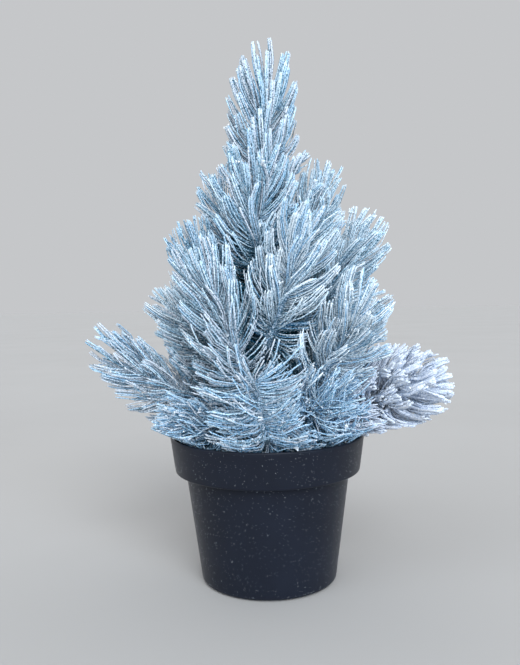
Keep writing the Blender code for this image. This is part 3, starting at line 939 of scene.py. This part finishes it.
def needle_rings(lines, size, random):
    """Rings of points round the flat, lumpy section of every needle."""
    lines = resampled(lines, np.array(RING_SHARES))
    across, facing = needle_frame(lines, random)
    angles = np.arange(NEEDLE_SIDES) / NEEDLE_SIDES * TURN
    grown = np.array(RING_TAPER)[None, :, None] * size[:, None, None]
    lumps = random.normal(0.0, NEEDLE_LUMPS, (*lines.shape[:2], NEEDLE_SIDES)) * size[:, None, None]
    lumps = 1 + lumps.clip(-0.4, 0.4)
    wide = NEEDLE_WIDTH * np.cos(angles) * grown * lumps
    thick = NEEDLE_THICKNESS * np.sin(angles) * grown * lumps
    return lines[:, :, None] + across[:, :, None] * wide[..., None] + facing[:, :, None] * thick[..., None]


def inner_frost_loss_and_shade(points):
    """How deep inside the crown the points lie, from 0 outside to 1 deep inside, where the needles are darkest:
    partly less frost, partly painted shade.
    """
    crown = np.interp(points[..., 2], CROWN_HEIGHTS, CROWN_RADII)
    return np.interp(np.hypot(points[..., 0], points[..., 1]) / crown, INNER_FROST_AND_SHADE_SHARES, [1.0, 0.0])


def make_needles(name, rings, finish, nodes, random):
    """Closed needles from (needle, ring, side) points, with the frost on each point, kept low on their narrow sides
    and deep in the crown, partly as painted shade.
    """
    count, ring_count, sides = rings.shape[:3]
    quads, ends = tube_faces(ring_count, sides, 0)
    first = np.arange(count)[:, None, None] * ring_count * sides
    faces = [(quads[None] + first).reshape(-1, 4), (ends[None] + first).reshape(-1, sides)]
    piece = joined_mesh(name, rings.reshape(-1, 3), faces, finish, nodes)
    frost = np.maximum(np.array(EDGE_FROST_AND_SIDE_SHADE)[None, :], np.array(TIP_FROST)[:, None])
    # Deep in the crown the frost is lowered, so the needles take their dark tint there: partly less frost, partly
    # painted shade.
    frost = frost[None] * random.uniform(0.75, 1.0, (count, 1, 1)) - INNER_FROST_AND_SHADE_LOSS * inner_frost_loss_and_shade(rings)
    piece.data.attributes.new("frost", "FLOAT", "POINT").data.foreach_set("value", frost.ravel())
    return piece


def tint_of(lines, sprig, random):
    """Number of each needle's tint: needles that rise take paler tints and drooping ones darker, partly from frost
    settling on what rises and partly as painted shade under the sprigs.
    """
    rise = unit(lines[:, -1] - lines[:, 0])[:, 2]
    # Drooping needles are darker and rising ones paler, partly as painted shade; each sprig's own offset is partly
    # painted light and shade as well.
    frost = SPRIG_FROST_AND_LIGHT.get(sprig, 0.0) + 0.25 * rise + random.normal(0.0, 0.22, len(lines))
    chance = random.uniform(0.0, 1.0, len(lines))
    grey_share, sky_and_shade_share = GREY_SHARES.get(sprig, GREY_SHARE), SKY_AND_SHADE_SHARES.get(sprig, 0.0)
    tint = np.digitize(frost, TINT_EDGES)
    # More of the bluer tint on low needles near the pot, partly as painted blue shade.
    sky_and_shade_share = sky_and_shade_share * np.interp(lines[:, 0, 2], SKY_AND_SHADE_HEIGHTS, [1.0, 0.6])
    tint[chance > 1 - sky_and_shade_share] = len(TINT_EDGES) + 1
    grey_share = grey_share * np.interp(lines[:, 0, 2], GREY_HEIGHTS, [1.0, 0.35])
    tint[chance < grey_share] = len(TINT_EDGES) + 3
    flocked = lines[:, -1, 0] > FLOCKED_BEYOND.get(sprig, math.inf)
    missed = (chance < FLOCKED_MISSED) & (sprig not in HEAVY_FROST)
    tint[flocked & ~missed] = len(TINT_EDGES) + 2
    return tint


# Frost


GRAIN_CORNERS = np.array([(1, 1, 1), (1, -1, -1), (-1, 1, -1), (-1, -1, 1)], dtype=float) * 0.75
GRAIN_FACES = np.array([(0, 1, 2), (0, 3, 1), (0, 2, 3), (1, 3, 2)], dtype=int)


def random_turns(count, random):
    """Random rotations, one a row, from unit quaternions."""
    w, x, y, z = unit(random.normal(size=(count, 4))).T
    rows = [
        [1 - 2 * (y * y + z * z), 2 * (x * y - w * z), 2 * (x * z + w * y)],
        [2 * (x * y + w * z), 1 - 2 * (x * x + z * z), 2 * (y * z - w * x)],
        [2 * (x * z - w * y), 2 * (y * z + w * x), 1 - 2 * (x * x + y * y)],
    ]
    return np.moveaxis(np.array(rows), -1, 0)


def make_grains(name, centres, radii, finish, random):
    """Four-sided crystals, each turned and stretched its own way."""
    count = len(centres)
    stretch = random.uniform(0.7, 1.3, (count, 1, 3))
    corners = GRAIN_CORNERS[None] * stretch * radii[:, None, None]
    corners = np.einsum("nij,nkj->nki", random_turns(count, random), corners) + centres[:, None]
    first = np.arange(count)[:, None, None] * len(GRAIN_CORNERS)
    piece = joined_mesh(
        name, corners.reshape(-1, 3), [(GRAIN_FACES[None] + first).reshape(-1, 3)], finish
    )
    piece.data.shade_flat()
    return piece


def grains_on(lines, count_each, random):
    """Places of grains on the needles, thicker towards their tips and on top."""
    count = len(lines) * count_each
    which = np.repeat(np.arange(len(lines)), count_each)
    along = 1 - 0.9 * random.uniform(0.0, 1.0, count) ** 1.25
    position = along * (LINE_POINTS - 1)
    low = np.minimum(position.astype(int), LINE_POINTS - 2)
    part = (position - low)[:, None]
    centre = lines[which, low] * (1 - part) + lines[which, low + 1] * part
    ahead = unit(lines[which, low + 1] - lines[which, low])
    side = random.normal(size=(count, 3)) + UP * 0.7
    side = unit(side - ahead * (side * ahead).sum(axis=1, keepdims=True))
    return centre + side * (NEEDLE_WIDTH + NEEDLE_THICKNESS) / 2


def pot_specks(random):
    """Places of stray frost on the outside of the pot, some strewn alone and some in clusters."""
    bearing = random.uniform(0.0, TURN, POT_SPECKS)
    height = POT_HEIGHT * random.uniform(0.02, 0.98, POT_SPECKS)
    cluster = random.integers(0, SPECK_CLUSTERS, POT_SPECKS)
    near = random.uniform(0.0, 1.0, POT_SPECKS) < CLUSTERED_SPECKS
    scatter = random.normal(size=(2, POT_SPECKS)) * np.array(SPECK_SCATTER)[:, None]
    bearing = np.where(near, bearing[cluster] + scatter[0], bearing)
    height = np.where(near, height[cluster] + scatter[1], height)
    height = height.clip(0.02 * POT_HEIGHT, 0.98 * POT_HEIGHT)
    radius = np.where(height < BAND_FOOT_HEIGHT, body_radius(height), band_radius(height))
    near_edge = abs(height - BAND_FOOT_HEIGHT) < 1.5
    places = np.stack([radius * np.cos(bearing), radius * np.sin(bearing), height], axis=1)
    return places[~near_edge]


def tier_of(name):
    return name.split("_")[0]


def make_foliage(wires):
    random = np.random.default_rng(FROST_SEED)
    nodes = [name + "_sprig" for name in wires]
    tints = {
        "deep_needles": frosted_needle("deep_frost", (0.003, 0.042, 0.064), (0.19, 0.41, 0.58)),
        "cool_needles": frosted_needle("cool_frost", (0.004, 0.060, 0.100), (0.37, 0.60, 0.80)),
        "blue_needles": frosted_needle("blue_frost", (0.006, 0.080, 0.135), (0.52, 0.75, 0.91)),
        "pale_needles": frosted_needle("pale_frost", (0.010, 0.095, 0.155), (0.66, 0.85, 0.98)),
        "white_needles": frosted_needle("white_frost", (0.045, 0.150, 0.215), (0.81, 0.92, 1.0)),
        # A bluer tint, partly the needles' own and partly painted blue shade.
        "sky_and_shade_needles": frosted_needle("sky_and_shade_frost", (0.008, 0.130, 0.270), (0.43, 0.68, 0.90)),
        "flocked_needles": frosted_needle("flocked_frost", (0.36, 0.44, 0.58), (0.73, 0.79, 0.90)),
        "grey_needles": frosted_needle("grey_frost", (0.012, 0.060, 0.085), (0.62, 0.70, 0.80)),
    }
    by_tint = [[] for _ in tints]
    by_tier, flocked = {}, []
    for sprig in wires:
        draw = np.random.default_rng(SPRIG_DRAWS.get(sprig, NEEDLE_SEED))
        lines = needle_lines(sprig, wires, draw)
        tint = tint_of(lines, sprig, draw)
        coat = HEAVY_COAT if sprig in HEAVY_FROST else LEADER_COAT if sprig == "leader" else 1.0
        size = draw.uniform(*WIDTH_SPREAD, len(lines)) * coat
        rings = needle_rings(lines, size, draw)
        for index in range(len(tints)):
            by_tint[index].append(rings[tint == index])
        by_tier.setdefault(tier_of(sprig), []).append(lines)
        if sprig in HEAVY_FROST:
            flocked.append(lines)
    for (name, finish), groups in zip(tints.items(), by_tint):
        make_needles(name, np.concatenate(groups), finish, nodes, random)
    everything = np.concatenate([lines for groups in by_tier.values() for lines in groups])
    frost = frost_finish()
    for tier, groups in by_tier.items():
        centres = grains_on(np.concatenate(groups), GRAINS_A_NEEDLE, random)
        radii = random.uniform(*GRAIN_RADIUS, len(centres))
        make_grains("frost_" + tier, centres, radii, frost, random)
    centres = grains_on(np.concatenate(flocked), HEAVY_GRAINS, random)
    radii = random.uniform(*HEAVY_GRAIN_RADIUS, len(centres))
    make_grains("frost_flocked", centres, radii, frost, random)
    chosen = random.choice(len(everything), CLUMPS, replace=False)
    centres = np.repeat(grains_on(everything[chosen], 1, random), GRAINS_A_CLUMP, axis=0)
    centres = centres + random.normal(0.0, CLUMP_SPREAD, centres.shape)
    make_grains("frost_clumps", centres, random.uniform(*CLUMP_GRAIN_RADIUS, len(centres)), frost, random)
    specks = pot_specks(random)
    radii = SPECK_RADIUS[0] + (SPECK_RADIUS[1] - SPECK_RADIUS[0]) * random.uniform(0.0, 1.0, len(specks)) ** 3
    make_grains("pot_specks", specks, radii, frost, random)


set_camera()
set_studio()
make_pot()
make_filling()
wires = plan_sprigs()
make_limbs(wires)
make_foliage(wires)
